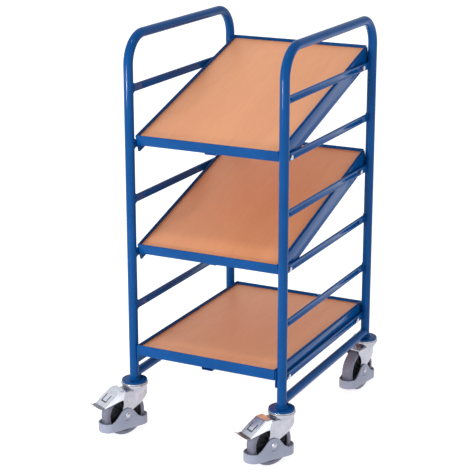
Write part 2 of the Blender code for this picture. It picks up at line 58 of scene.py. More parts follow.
# The side frames: HALF_WIDTH and HALF_DEPTH are half the distances between the posts' axes.
TUBE = (left_high.x - left_low.x) / 2
HALF_WIDTH = (right_high.x - left_low.x) / 2 - TUBE
HALF_DEPTH = (left_high.y - left_low.y) / 2 - TUBE
HANDLE = left_high.z - TUBE
FOOT = left_low.z
BEND = 0.078
rung_low, rung_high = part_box("rung_right_1")
RUNG_THICKNESS = rung_high.x - rung_low.x
RUNG_HEIGHT = rung_high.z - rung_low.z
RUNG_INSET = CENTRE.x + HALF_WIDTH - (rung_low.x + rung_high.x) / 2
RUNG_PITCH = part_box("rung_right_2")[0].z - rung_low.z
bolt_low, bolt_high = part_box("tray_bolt_bottom_rear_right")
BOLT_Y = (bolt_low.y + bolt_high.y) / 2 - CENTRE.y
base_low, base_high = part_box("base_tube_right")
BASE_RADIUS = (base_high.x - base_low.x) / 2
BASE_HEIGHT = (base_high.z + base_low.z) / 2

# The trays: half width and half depth of the rim, its height, wall and ledge, and how far the
# board lies below it. The side plates reach a little past the rim's outer face, and into it.
TRAY_X, TRAY_Y = 0.2078, 0.3085
RIM, WALL, LEDGE, RECESS = 0.030, 0.003, 0.025, 0.009
PLATE_OUT, PLATE_IN = 0.0034, 0.0006
STIFFENER = 0.017

# The casters. A caster's own frame has its origin on the floor under the swivel axis and +X the
# way its wheel trails.
WHEEL, TRAIL = 0.0625, 0.040
AXLE_SPOT = (TRAIL, 0, WHEEL)
FLANGE_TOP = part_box("flange_front_left")[1].z
FORK_HALF, FORK_WALL, FORK_REAR = 0.0225, 0.0025, 0.064
PEDAL_HALF = 0.0250
JOINTS = {joint["name"]: joint for joint in frame["joints"]}

ROOT = "cart_frame"
SIDES = {"left": -1, "right": 1}
CORNERS = ("front_left", "front_right", "rear_right", "rear_left")
BRAKED = ("front_left", "front_right")
TRAYS = ("bottom", "middle", "top")
RUNGS = range(1, 7)

# These turn a piece's Z axis to +X and to +Y.
ALONG_X = Matrix.Rotation(math.radians(90), 4, "Y")
ALONG_Y = Matrix.Rotation(math.radians(-90), 4, "X")

# Points closer than MERGE become one, and edges shorter than SLIVER go. An edge sharper than
# CREASE degrees isn't shaded smooth. A CUTTER is wider than any caster.
MERGE, SLIVER = 1e-6, 1e-7
CREASE = 35.0
CUTTER = 0.1


# ---------------------------------------------------------------- materials


def fill_ramp(node, stops):
    """Gives a colour ramp its stops, each a position and a colour."""
    elements = node.color_ramp.elements
    while len(elements) < len(stops):
        elements.new(0.5)
    for element, (position, colour) in zip(elements, stops):
        element.position = position
        element.color = (*colour, 1.0)


def multiply(tree, share, first, second):
    """The first colour, multiplied by a share of the second."""
    node = tree.nodes.new("ShaderNodeMix")
    node.data_type = "RGBA"
    node.blend_type = "MULTIPLY"
    # A mix node has its factor at input 0, and its colours at inputs 6 and 7 and output 2.
    node.inputs[0].default_value = share
    tree.links.new(first, node.inputs[6])
    tree.links.new(second, node.inputs[7])
    return node.outputs[2]


def darker(colour, share):
    return tuple(share * value for value in colour)


class Shader:
    """A principled material and short ways to wire nodes into it."""

    def __init__(self, name, colour, roughness, metallic=0.0):
        self.material = bpy.data.materials.new(name)
        self.material.use_nodes = True
        self.tree = self.material.node_tree
        self.nodes, self.links = self.tree.nodes, self.tree.links
        self.bsdf = self.nodes["Principled BSDF"]
        self.set("Base Color", (*colour, 1.0))
        self.set("Roughness", roughness)
        self.set("Metallic", metallic)
        self.place = self.nodes.new("ShaderNodeTexCoord").outputs["Object"]

    def set(self, socket, value):
        self.bsdf.inputs[socket].default_value = value

    def to(self, socket, output):
        """Wires a node's output into the shader."""
        self.links.new(output, self.bsdf.inputs[socket])

    def stretched(self, scale):
        """The object's own coordinates, scaled along each axis."""
        node = self.nodes.new("ShaderNodeMapping")
        node.inputs["Scale"].default_value = scale
        self.links.new(self.place, node.inputs["Vector"])
        return node.outputs["Vector"]

    def noise(self, scale, detail=3.0, distortion=0.0, vector=None):
        node = self.nodes.new("ShaderNodeTexNoise")
        node.inputs["Scale"].default_value = scale
        node.inputs["Detail"].default_value = detail
        node.inputs["Distortion"].default_value = distortion
        self.links.new(vector or self.place, node.inputs["Vector"])
        return node.outputs["Fac"]

    def spread(self, value, low, high, start=0.3, end=0.7):
        """The value brought from start..end to low..high."""
        node = self.nodes.new("ShaderNodeMapRange")
        node.inputs["From Min"].default_value = start
        node.inputs["From Max"].default_value = end
        node.inputs["To Min"].default_value = low
        node.inputs["To Max"].default_value = high
        self.links.new(value, node.inputs["Value"])
        return node.outputs["Result"]

    def ramp(self, value, stops):
        node = self.nodes.new("ShaderNodeValToRGB")
        fill_ramp(node, stops)
        self.links.new(value, node.inputs["Fac"])
        return node.outputs["Color"]

    def bump(self, height, distance):
        """Adds a relief, on top of the one that is there."""
        node = self.nodes.new("ShaderNodeBump")
        node.inputs["Distance"].default_value = distance
        node.inputs["Strength"].default_value = 1.0
        if self.bsdf.inputs["Normal"].is_linked:
            self.links.new(self.bsdf.inputs["Normal"].links[0].from_socket, node.inputs["Normal"])
        self.links.new(height, node.inputs["Height"])
        self.to("Normal", node.outputs["Normal"])


def powder_coat():
    """Gentian blue powder coat: glossy, with a fine orange peel and faint cloudiness."""
    made = Shader("powder_coat", (0.003, 0.08, 0.28), 0.3)
    cloud = made.noise(9.0, 2.0)
    deep, bright = (0.0014, 0.057, 0.212), (0.0024, 0.068, 0.250)
    made.to("Base Color", made.ramp(cloud, [(0.35, deep), (0.65, bright)]))
    made.to("Roughness", made.spread(made.noise(60.0, 3.0), 0.06, 0.11))
    made.bump(made.noise(650.0, 1.0), 0.00005)
    made.bump(made.noise(90.0, 1.0), 0.00003)
    made.set("Specular IOR Level", 0.10)
    return made.material


def beech_decor():
    """Beech-decor board: fine pale flecks and soft bands of grain along the tray."""
    made = Shader("beech_decor", (0.70, 0.31, 0.16), 0.42)
    band = made.noise(9.0, 3.0, 0.4, made.stretched((1.0, 0.10, 1.0)))
    fleck = made.noise(240.0, 3.0, 0.2, made.stretched((1.0, 0.07, 1.0)))
    tones = [(0.30, (0.78, 0.325, 0.150)), (0.50, (0.82, 0.35, 0.165)), (0.72, (0.86, 0.375, 0.18))]
    base = made.ramp(band, tones)
    flecks = made.ramp(fleck, [(0.36, (0.965, 0.95, 0.93)), (0.56, (1.0, 1.0, 1.0))])
    made.to("Base Color", multiply(made.tree, 0.7, base, flecks))
    made.to("Roughness", made.spread(fleck, 0.48, 0.38))
    made.bump(fleck, 0.00003)
    return made.material


def zinc(name, colour, low, high):
    """Zinc plate on pressed steel: soft cloudy shine with fine rubbed lines."""
    made = Shader(name, colour, 0.3, 1.0)
    cloud = made.noise(45.0, 4.0, 0.4)
    made.to("Base Color", made.ramp(cloud, [(0.3, darker(colour, 0.8)), (0.7, colour)]))
    lines = made.noise(500.0, 3.0, 0.0, made.stretched((1.0, 1.0, 0.08)))
    made.to("Roughness", made.spread(made.noise(70.0, 4.0), low, high))
    made.bump(lines, 0.00003)
    made.bump(made.noise(25.0, 2.0), 0.00015)
    return made.material


def plastic(name, colour, roughness):
    """Moulded plastic: an even colour, a spark-eroded grain and a slight sheen variation."""
    made = Shader(name, colour, roughness)
    cloud = made.noise(22.0, 3.0)
    made.to("Base Color", made.ramp(cloud, [(0.3, darker(colour, 0.9)), (0.7, colour)]))
    made.to("Roughness", made.spread(made.noise(120.0, 3.0), roughness - 0.05, roughness + 0.06))
    made.bump(made.noise(900.0, 2.0), 0.00004)
    return made.material


def tyre_rubber():
    """Grey non-marking rubber: matte, faintly dusty and a little darker in places."""
    made = Shader("tyre_rubber", (0.20, 0.20, 0.265), 0.62)
    cloud = made.noise(35.0, 4.0, 0.5)
    dusk, dust = (0.125, 0.128, 0.180), (0.160, 0.163, 0.228)
    made.to("Base Color", made.ramp(cloud, [(0.3, dusk), (0.7, dust)]))
    made.to("Roughness", made.spread(made.noise(150.0, 3.0), 0.52, 0.72))
    made.bump(made.noise(1100.0, 2.0), 0.00005)
    made.set("Sheen Weight", 0.15)
    made.set("Sheen Roughness", 0.5)
    return made.material


BLUE = powder_coat()
BEECH = beech_decor()
ZINC = zinc("zinc_plate", (0.52, 0.53, 0.60), 0.18, 0.30)
BRIGHT_ZINC = zinc("bright_zinc", (0.52, 0.56, 0.63), 0.14, 0.24)
# Painted light: the pedal's zinc is much paler than the fork's, to stand for the bright reflection
# on its top.
PEDAL_ZINC_PAINTED_LIGHT = zinc("pedal_zinc_painted_light", (0.84, 0.88, 0.97), 0.20, 0.32)
# Painted shade: the lip's zinc is much darker than the pedal's, to stand for the dark reflection on
# the pedal's tip.
LIP_ZINC_PAINTED_SHADE = zinc("lip_zinc_painted_shade", (0.30, 0.34, 0.37), 0.30, 0.42)
GUARD = plastic("guard_plastic", (0.275, 0.30, 0.40), 0.38)
CORE = plastic("core_plastic", (0.010, 0.011, 0.018), 0.5)
TYRE = tyre_rubber()


# ---------------------------------------------------------------- shape helpers


def link(name, data):
    obj = bpy.data.objects.new(name, data)
    bpy.context.scene.collection.objects.link(obj)
    return obj


def from_bmesh(name, work):
    bmesh.ops.remove_doubles(work, verts=work.verts, dist=MERGE)
    bmesh.ops.dissolve_degenerate(work, edges=work.edges, dist=SLIVER)
    bmesh.ops.recalc_face_normals(work, faces=work.faces)
    mesh = bpy.data.meshes.new(name)
    work.to_mesh(mesh)
    work.free()
    return link(name, mesh)


def grid_mesh(name, rings, closed_rings=True, closed_path=False):
    """A skin over rings of points: each ring joins the next, and the end ones are capped."""
    work = bmesh.new()
    verts = [[work.verts.new(point) for point in ring] for ring in rings]
    count = len(rings[0])
    across = count if closed_rings else count - 1
    along = len(rings) if closed_path else len(rings) - 1
    for i in range(along):
        first, second = verts[i], verts[(i + 1) % len(rings)]
        for j in range(across):
            k = (j + 1) % count
            work.faces.new((first[j], first[k], second[k], second[j]))
    if closed_rings and not closed_path:
        work.faces.new(verts[0])
        work.faces.new(verts[-1])
    return from_bmesh(name, work)


def turns(steps):
    """The angles of equal steps round a full turn."""
    return [2 * math.pi * i / steps for i in range(steps)]


def circle(radius, sides):
    return [(radius * math.cos(turn), radius * math.sin(turn)) for turn in turns(sides)]


def rectangle(left, right, low, high):
    """The four corners, in turn."""
    return [(left, low), (right, low), (right, high), (left, high)]


def arc(centre, radius, start, end, steps):
    """Points on an arc, with the angles in degrees."""
    points = []
    for step in range(steps + 1):
        angle = math.radians(start + (end - start) * step / steps)
        points.append((centre[0] + radius * math.cos(angle), centre[1] + radius * math.sin(angle)))
    return points


def rounded(points, radii, steps=5, closed=True):
    """A polygon, or an open line, with rounded corners: radii is one number or one per corner."""
    count = len(points)
    if isinstance(radii, (int, float)):
        radii = [radii] * count
    made = []
    for i, point in enumerate(points):
        here = Vector(point)
        if radii[i] <= 0 or (not closed and i in (0, count - 1)):
            made.append(tuple(here))
            continue
        back = Vector(points[i - 1]) - here
        on = Vector(points[(i + 1) % count]) - here
        half = back.angle(on) / 2
        if half > math.radians(89.5):
            made.append(tuple(here))
            continue
        reach = min(radii[i] / math.tan(half), 0.49 * back.length, 0.49 * on.length)
        start, end = here + back.normalized() * reach, here + on.normalized() * reach
        for step in range(steps + 1):
            t = step / steps
            # The weight makes the quadratic a circular arc.
            w = math.sin(half)
            top = start * (1 - t) ** 2 + here * 2 * w * t * (1 - t) + end * t**2
            made.append(tuple(top / ((1 - t) ** 2 + 2 * w * t * (1 - t) + t**2)))
    return made


def sweep(name, path, section, refs, closed=False, scales=None):
    """A closed section moved along a path; refs is its first axis, or one for each point."""
    path = [Vector(point) for point in path]
    count = len(path)
    if isinstance(refs, Vector):
        refs = [refs] * count
    rings = []
    for i, point in enumerate(path):
        before = path[i - 1] if (closed or i > 0) else point
        after = path[(i + 1) % count] if (closed or i < count - 1) else point
        tangent = (after - before).normalized()
        first = (refs[i] - tangent * refs[i].dot(tangent)).normalized()
        second = tangent.cross(first)
        scale = scales[i] if scales else 1.0
        rings.append([point + (first * u + second * v) * scale for u, v in section])
    return grid_mesh(name, rings, closed_path=closed)


def turned(name, profile, steps=72, closed=False, relief=None):
    """A profile of (radius, height) points turned about Z.

    relief gives the height to add at a radius, height and angle.
    """
    rings = []
    for angle in turns(steps):
        ring = []
        for radius, height in profile:
            extra = relief(radius, height, angle) if relief else 0.0
            ring.append((radius * math.cos(angle), radius * math.sin(angle), height + extra))
        rings.append(ring)
    return grid_mesh(name, rings, closed_rings=closed, closed_path=True)


def plate(name, outlines, thickness, edge=0.0004):
    """Flat outlines in XY, thickness along Z about the middle, with rounded edges."""
    curve = bpy.data.curves.new(name, "CURVE")
    curve.dimensions = "2D"
    curve.fill_mode = "BOTH"
    curve.extrude = thickness / 2 - edge
    curve.bevel_depth = edge
    curve.bevel_resolution = 2
    curve.offset = -edge
    for points in outlines:
        spline = curve.splines.new("POLY")
        spline.points.add(len(points) - 1)
        for point, place in zip(spline.points, points):
            point.co = (place[0], place[1], 0.0, 1.0)
        spline.use_cyclic_u = True
    return baked(link(name, curve))


def baked(obj):
    """The object again with its curve or modifiers made into one mesh."""
    graph = bpy.context.evaluated_depsgraph_get()
    mesh = bpy.data.meshes.new_from_object(obj.evaluated_get(graph))
    work = bmesh.new()
    work.from_mesh(mesh)
    bmesh.ops.remove_doubles(work, verts=work.verts, dist=MERGE)
    bmesh.ops.recalc_face_normals(work, faces=work.faces)
    work.to_mesh(mesh)
    work.free()
    made = link(obj.name, mesh)
    bpy.data.objects.remove(obj, do_unlink=True)
    return made


def boolean(obj, tools, operation):
    for tool in tools:
        modifier = obj.modifiers.new(operation.lower(), "BOOLEAN")
        modifier.operation = operation
        modifier.object = tool
        modifier.solver = "EXACT"
    obj = baked(obj)
    for tool in tools:
        bpy.data.objects.remove(tool, do_unlink=True)
    return obj


def transform(obj, matrix):
    obj.data.transform(matrix)
    return obj


def joined(name, objects):
    """Several meshes as one object."""
    work = bmesh.new()
    for obj in objects:
        work.from_mesh(obj.data)
        bpy.data.objects.remove(obj, do_unlink=True)
    mesh = bpy.data.meshes.new(name)
    work.to_mesh(mesh)
    work.free()
    return link(name, mesh)


def show(source, name, material, body, matrix, nodes=()):
    """Finishes a piece with its name, finish, place, body and the nodes that it replaces.

    The first call for a source shows the source itself, and a later one an object on its mesh.
    """
    mesh = source.data
    if mesh.materials:
        obj = link(name, mesh)
    else:
        obj = source
        obj.name = name
        mesh.shade_smooth()
        mesh.set_sharp_from_angle(angle=math.radians(CREASE))
        mesh.materials.append(material)
    obj.matrix_world = matrix
    bpy.context.view_layer.update()
    if nodes:
        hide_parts(*nodes)
    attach(obj, body)


def hexagon_piece(across_flats, height):
    """A hexagon nut or bolt head from 0 to height along Z, with a turned chamfer on its top."""
    chamfer = 0.0008
    half = across_flats / 2
    corner = half / math.cos(math.radians(30))

    def ring(height_here, limit):
        points = []
        for turn in turns(72):
            local = (turn + math.radians(30)) % math.radians(60) - math.radians(30)
            radius = min(half / math.cos(local), limit)
            points.append((radius * math.cos(turn), radius * math.sin(turn), height_here))
        return points

    rings = [ring(0.0, corner - chamfer / 2), ring(chamfer / 4, corner)]
    for step in range(6):
        t = step / 5
        limit = corner - (corner - half * 0.97) * t
        rings.append(ring(height - chamfer * (1 - t), limit))
    rings.append(ring(height, half * 0.90))
    return grid_mesh("hexagon", rings)


def bead(name, path, radius, refs, closed=False, pitch=0.0028):
    """A weld bead along a path, with the small ripples that a torch leaves."""
    ripple, taper = 0.13, 0.55
    length = 0.0
    scales = []
    previous = Vector(path[0])
    for point in path:
        length += (Vector(point) - previous).length
        previous = Vector(point)
        scales.append(1.0 + ripple * math.sin(2 * math.pi * length / pitch))
    if not closed:
        scales[0] = scales[-1] = taper
    return sweep(name, path, circle(radius, 10), refs, closed, scales)


def along(points, spacing=0.0009):
    """The same line with a point at least every spacing, close enough for a weld's ripples."""
    made = [Vector(points[0])]
    for point in points[1:]:
        start, end = made[-1], Vector(point)
        steps = max(1, math.ceil((end - start).length / spacing))
        made += [start.lerp(end, (i + 1) / steps) for i in range(steps)]
    return made


# ---------------------------------------------------------------- side frames


def hoop_path():
    """The axis of a hoop: up one post, over the handle and down the other."""
    reach, shoulder = HALF_DEPTH - BEND, HANDLE - BEND
    line = [(-HALF_DEPTH, FOOT)]
    line += arc((-reach, shoulder), BEND, 180, 90, 28)
    line += arc((reach, shoulder), BEND, 90, 0, 28)
    line.append((HALF_DEPTH, FOOT))
    return [Vector((0, y, z)) for y, z in line]


def tube_line(half_length, height):
    return [Vector((0, -half_length, height)), Vector((0, half_length, height))]


def ring_on_upright(height, end, radius):
    """The line where a tube along Y meets an upright of the side frame."""
    points, refs = [], []
    for angle in turns(48):
        x, up = radius * math.cos(angle), radius * math.sin(angle)
        reach = math.sqrt(max(TUBE**2 - x**2, 0.0))
        points.append(Vector((x, end * (HALF_DEPTH - reach), height + up)))
        refs.append(Vector((math.cos(angle), 0, math.sin(angle))))
    return points, refs


def rung_piece():
    """A flat bar with rounded edges, its bolt holes, and its ends run into the uprights."""
    half_x, half_z = RUNG_THICKNESS / 2, RUNG_HEIGHT / 2
    hole_radius, chamfer_radius, beyond = 0.0046, 0.0062, 0.02
    section = rounded(rectangle(-half_x, half_x, -half_z, half_z), 0.0019, 5)
    reach = HALF_DEPTH - math.sqrt(TUBE**2 - RUNG_INSET**2) + 0.002
    bar = sweep("rung", tube_line(reach, 0), section, Vector((1, 0, 0)))
    holes = []
    for end in (-1, 1):
        upper = [(0, beyond), (chamfer_radius, beyond), (chamfer_radius, half_x + 0.0002)]
        upper.append((hole_radius, half_x - 0.0008))
        profile = upper + [(radius, -height) for radius, height in reversed(upper)]
        hole = turned("hole", profile, 32)
        transform(hole, Matrix.Translation((0, end * BOLT_Y, 0)) @ ALONG_X)
        holes.append(hole)
    return boolean(bar, holes, "DIFFERENCE")


def rung_weld(end):
    """Fillet welds over, along and under a rung's end, where it meets an upright."""
    half_x, half_z = RUNG_THICKNESS / 2, RUNG_HEIGHT / 2

    def cope(x):
        return HALF_DEPTH - math.sqrt(max(TUBE**2 - (x - RUNG_INSET) ** 2, 1e-9)) - 0.0002

    spots = [(-half_x, half_z), (0.0, half_z), (half_x, half_z), (half_x, 0.0), (half_x, -half_z)]
    spots += [(0.0, -half_z), (-half_x, -half_z)]
    line = [(x, end * cope(x), z) for x, z in spots]
    path = along(line)
    refs = [Vector((point.x, 0, point.z)).normalized() for point in path]
    return bead("weld", path, 0.0026, refs)


def build_side_frames():
    hoop = sweep("hoop", hoop_path(), circle(TUBE, 48), Vector((1, 0, 0)))
    base_line = tube_line(HALF_DEPTH - 0.006, BASE_HEIGHT)
    base = sweep("base", base_line, circle(BASE_RADIUS, 48), Vector((1, 0, 0)))
    outward = [Vector((math.cos(turn), math.sin(turn), 0)) for turn in turns(60)]
    beads = []
    for end in (-1, 1):
        points, refs = ring_on_upright(BASE_HEIGHT, end, BASE_RADIUS)
        beads.append(bead("weld", points, 0.0019, refs, closed=True))
        ring = [(x, end * HALF_DEPTH + y, FOOT + 0.0006) for x, y in circle(TUBE, 60)]
        beads.append(bead("weld", ring, 0.0034, outward, closed=True, pitch=0.0044))
    foot_welds = joined("weld", beads)
    rung = rung_piece()
    rung_welds = joined("rung_weld", [rung_weld(end) for end in (-1, 1)])
    for side, sign in SIDES.items():
        turn = Matrix() if sign > 0 else Matrix.Rotation(math.pi, 4, "Z")
        spot = AT_CENTRE @ Matrix.Translation((sign * HALF_WIDTH, 0, 0)) @ turn
        show(hoop, f"frame_tube_{side}", BLUE, ROOT, spot, (f"hoop_{side}",))
        show(base, f"base_rail_{side}", BLUE, ROOT, spot, (f"base_tube_{side}",))
        show(foot_welds, f"foot_welds_{side}", BLUE, ROOT, spot)
        for index in RUNGS:
            node = f"rung_{side}_{index}"
            low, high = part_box(node)
            place = Matrix.Translation((low + high) / 2) @ turn
            show(rung, f"rung_bar_{side}_{index}", BLUE, ROOT, place, (node,))
            show(rung_welds, f"rung_welds_{side}_{index}", BLUE, ROOT, place)


# ---------------------------------------------------------------- trays


def tray_matrix(name):
    """The tray's own frame: its origin is at the middle of the rim's top plane."""
    mount = next(m for m in frame["record"]["mounts"] if m["name"] == f"{name}_tray_surface")
    up = Vector(mount["axis"])
    across = Vector((1, 0, 0))
    back = up.cross(across)
    rotation = Matrix((across, back, up)).transposed().to_4x4()
    return Matrix.Translation(Vector(mount["pos_m"]) + up * RECESS) @ rotation


def rim_piece():
    """An angle section mitred round the tray, upright leg outside and ledge under the board."""
    corners = [(0, -RIM), (0, 0), (WALL, 0), (WALL, WALL - RIM), (LEDGE, WALL - RIM), (LEDGE, -RIM)]
    section = rounded(corners, [0.0012, 0.0011, 0.0011, 0.0018, 0.0011, 0.0011], 4)
    outer = 0.0022
    rings = []
    for sx, sy, start in ((1, 1, 0), (-1, 1, 90), (-1, -1, 180), (1, -1, 270)):
        centre = Vector((sx * (TRAY_X - outer), sy * (TRAY_Y - outer)))
        for step in range(7):
            angle = math.radians(start + 90 * step / 6)
            ring = []
            for inward, z in section:
                if inward < outer:
                    offset = Vector((math.cos(angle), math.sin(angle))) * (outer - inward)
                else:
                    offset = Vector((sx, sy)) * (outer - inward)
                ring.append((centre.x + offset.x, centre.y + offset.y, z))
            rings.append(ring)
    return grid_mesh("rim", rings, closed_path=True)


def stiffener_piece():
    """The box section under the middle of the tray, open at its ends."""
    depth, setback = 0.014, 0.016
    wall, low, top = 0.0026, -RIM - depth, 0.002 - RIM
    outer = rounded(rectangle(-STIFFENER, STIFFENER, low, top), 0.0026, 5)
    half, low, top = STIFFENER - wall, low + wall, top - wall
    bore = rounded(rectangle(-half, half, low, top), 0.0012, 4)
    section = plate("stiffener", [outer, bore], 2 * (TRAY_Y - setback))
    return transform(section, Matrix.Rotation(math.radians(90), 4, "X"))


def side_plate_piece(side):
    """The plate along one side of a tray, with the bolt holes of both settings."""
    reach, top, low, bolt_drop, hole_radius = TRAY_Y - 0.004, -0.004, -0.053, 0.039, 0.0046
    corners = [(-reach, top), (-reach, low), (reach, low), (reach, top)]
    outlines = [rounded(corners, [0.0012, 0.005, 0.005, 0.0012], 6)]
    tilted = math.hypot(2 * BOLT_Y, RUNG_PITCH) - BOLT_Y
    for y in (-tilted, -BOLT_Y, BOLT_Y, tilted):
        outlines.append([(y + across, up - bolt_drop) for across, up in circle(hole_radius, 32)])
    shape = plate("side_plate", outlines, PLATE_OUT + PLATE_IN, 0.0005)
    # The outline's X and Y become the tray's Y and Z, and its thickness lies along X.
    transform(shape, Matrix(((0, 0, 1, 0), (1, 0, 0, 0), (0, 1, 0, 0), (0, 0, 0, 1))))
    middle = side * (TRAY_X + (PLATE_OUT - PLATE_IN) / 2)
    return transform(shape, Matrix.Translation((middle, 0, 0)))


def tray_welds():
    """Stitches along the side plates and at the stiffener's ends, and the rim's mitred corners."""
    beads = []
    for side in (-1, 1):
        x, under = side * (TRAY_X - PLATE_IN - 0.0002), -RIM - 0.0002
        for middle in (-0.23, -0.115, 0.0, 0.115, 0.23):
            line = [(x, middle - 0.015, under), (x, middle + 0.015, under)]
            beads.append(bead("weld", along(line), 0.0019, Vector((1, 0, 0))))
    for end in (-1, 1):
        near, far = end * (TRAY_Y - 0.0165), end * (TRAY_Y - 0.0245)
        for x in (-STIFFENER, STIFFENER):
            line = [(x, near, under), (x, far, under)]
            beads.append(bead("weld", along(line), 0.0015, Vector((0, 0, 1))))
    for sx in (-1, 1):
        for sy in (-1, 1):
            corner = (sx * (TRAY_X - 0.0032), sy * (TRAY_Y - 0.0032))
            line = [(*corner, -0.0012), (*corner, -RECESS - 0.0005)]
            beads.append(bead("weld", along(line), 0.0011, Vector((1, 0, 0))))
    return joined("seams", beads)


def board_piece():
    """The board, with rounded edges and a small gap round it inside the rim."""
    gap = 0.0003
    x, y = TRAY_X - WALL - gap, TRAY_Y - WALL - gap
    outline = rounded(rectangle(-x, x, -y, y), 0.0012, 3)
    thickness = RIM - WALL - RECESS - gap
    board = plate("board", [outline], thickness, 0.0007)
    return transform(board, Matrix.Translation((0, 0, -RECESS - thickness / 2)))


def build_trays():
    side_plates = [side_plate_piece(side) for side in (-1, 1)]
    edge = joined("edge", [rim_piece(), stiffener_piece(), *side_plates])
    seams, board = tray_welds(), board_piece()
    for name in TRAYS:
        matrix = tray_matrix(name)
        show(edge, f"tray_rim_{name}", BLUE, ROOT, matrix, (f"tray_frame_{name}",))
        show(seams, f"tray_welds_{name}", BLUE, ROOT, matrix)
        show(board, f"shelf_board_{name}", BEECH, ROOT, matrix, (f"tray_board_{name}",))


def bolt_piece():
    """An M8 bolt along +X with its head outside the rung and its nut inside the side plate."""
    across_flats = 0.0129
    outer = HALF_WIDTH - RUNG_INSET + RUNG_THICKNESS / 2 + 0.0002 - HALF_WIDTH
    head = hexagon_piece(across_flats, 0.0052)
    transform(head, Matrix.Translation((outer, 0, 0)) @ ALONG_X)
    inner = TRAY_X - 0.0012 - HALF_WIDTH
    nut = hexagon_piece(across_flats, 0.0064)
    transform(nut, Matrix.Translation((inner, 0, 0)) @ ALONG_X.inverted())
    thread = [(0.0, 0.0086), (0.0032, 0.0086), (0.0040, 0.0079), (0.0036, 0.0075)]
    thread += [(0.0040, 0.0071), (0.0036, 0.0067), (0.0040, 0.0063), (0.0040, 0.0), (0.0, 0.0)]
    end = turned("thread", thread, 32)
    transform(end, Matrix.Translation((inner, 0, 0)) @ ALONG_X.inverted())
    within = outer + 0.001
    shank = turned("shank", [(0.0, within), (0.004, within), (0.004, inner), (0.0, inner)], 32)
    transform(shank, ALONG_X)
    return joined("bolt", [head, nut, end, shank])


def build_bolts():
    bolt = bolt_piece()
    for name in TRAYS:
        for end in ("front", "rear"):
            for side, sign in SIDES.items():
                node = f"tray_bolt_{name}_{end}_{side}"
                low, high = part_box(node)
                middle = (low + high) / 2
                place = Matrix.Translation((CENTRE.x + sign * HALF_WIDTH, middle.y, middle.z))
                turn = Matrix.Rotation(0 if sign > 0 else math.pi, 4, "Z")
                show(bolt, f"bolt_{name}_{end}_{side}", BRIGHT_ZINC, ROOT, place @ turn, (node,))


# ---------------------------------------------------------------- casters


def caster_matrix(corner):
    """The place and heading of a caster's own frame at rest."""
    swivel = Vector(JOINTS[f"swivel_{corner}"]["pos_m"])
    wheel = Vector(JOINTS[f"wheel_spin_{corner}"]["pos_m"])
    trail = wheel - swivel
    heading = math.atan2(trail.y, trail.x)
    return Matrix.Translation((swivel.x, swivel.y, 0)) @ Matrix.Rotation(heading, 4, "Z")


def upright_plate(name, outline, inside, thickness, side, edge=0.0004, holes=()):
    """A plate in the caster's XZ plane, from inside outwards to one side of Y = 0."""
    made = plate(name, [outline, *holes], thickness, edge)
    transform(made, Matrix.Rotation(math.radians(90), 4, "X"))
    return transform(made, Matrix.Translation((0, side * (inside + thickness / 2), 0)))


def flange_piece():
    """The round plate under a post, with rounded edges."""
    radius, upper, under = 0.0352, 0.0012, 0.0008
    low = FLANGE_TOP - 0.0048
    profile = [(0, FLANGE_TOP), (radius - upper, FLANGE_TOP)]
    profile += arc((radius - upper, FLANGE_TOP - upper), upper, 80, 0, 4)
    profile += arc((radius - under, low + under), under, 0, -90, 3)
    profile += [(0, low)]
    return turned("flange", profile, 96)


def cup_piece():
    """The bright fixed cup of the swivel bearing, with a rolled lower edge and the king pin."""
    top, low = FLANGE_TOP - 0.0049, 0.1442
    profile = [(0, top), (0.0340, top)]
    profile += arc((0.0350, top - 0.0015), 0.0015, 90, 0, 5)
    profile += arc((0.0352, low + 0.0012), 0.0013, 20, -90, 6)
    profile += [(0.0335, low), (0.0332, low + 0.0012), (0.012, low + 0.0012), (0.0118, low)]
    profile += [(0.006, low), (0.006, 0.1334), (0.0055, 0.133), (0, 0.133)]
    return turned("cup", profile, 96)


def leg_shape(braked):
    """The fork's side: from the crown, down its front edge to the axle, up its rear edge."""
    points = [(FORK_REAR, 0.1290), (-0.042, 0.1290), (-0.0365, 0.1075), (-0.010, 0.0880)]
    points += [(0.0225, 0.0735), (0.024, 0.0475), (0.056, 0.0475), (0.0565, 0.072)]
    radii = [0.002, 0.001, 0.012, 0.05, 0.012, 0.0155, 0.0155, 0.02]
    if braked:
        points += [(0.0500, 0.090), (0.0500, 0.1075), (FORK_REAR, 0.1085)]
        radii += [0.02, 0.005, 0.002]
    else:
        points += [(0.0505, 0.092), (0.0580, 0.1090), (FORK_REAR, 0.1160)]
        radii += [0.02, 0.01, 0.002]
    return rounded(points, radii, 8)


def crown_shape():
    """The crown's section across the fork: a channel with rounded shoulders."""
    outer, inner, top, low = FORK_HALF, 0.0195, 0.131, 0.121
    points = [(-outer, low), (-outer, top), (outer, top), (outer, low)]
    points += [(inner, low), (inner, top - 0.0032), (-inner, top - 0.0032), (-inner, low)]
    radii = [0, 0.0055, 0.0055, 0, 0, 0.0025, 0.0025, 0]
    return rounded(points, radii, 6)


def nose(inward):
    """The fork's front from above: flat flanks that close round it in half a superellipse."""
    reach, half = 0.038 - inward, FORK_HALF - inward
    middle, power = 0.030, 2 / 2.4
    points = []
    for step in range(41):
        angle = math.pi / 2 + math.pi * step / 40
        across, along_x = math.sin(angle), max(0.0, -math.cos(angle))
        width = half * math.copysign(abs(across) ** power, across)
        points.append((middle - (reach + middle) * along_x**power, width))
    return points


def shell_piece(braked):
    """The pressed sheet of the fork, bent round the front and trimmed to its side outline."""
    low, high, inner = 0.046, 0.1296, FORK_HALF - FORK_WALL
    outline = [(FORK_REAR, FORK_HALF), *nose(0.0), (FORK_REAR, -FORK_HALF)]
    outline += [(FORK_REAR, -inner), *reversed(nose(FORK_WALL)), (FORK_REAR, inner)]
    sheet = plate("shell", [outline], high - low, 0.0)
    transform(sheet, Matrix.Translation((0, 0, (high + low) / 2)))
    trim = upright_plate("trim", leg_shape(braked), -CUTTER / 2, CUTTER, 1, 0.0)
    return boolean(sheet, [trim], "INTERSECT")


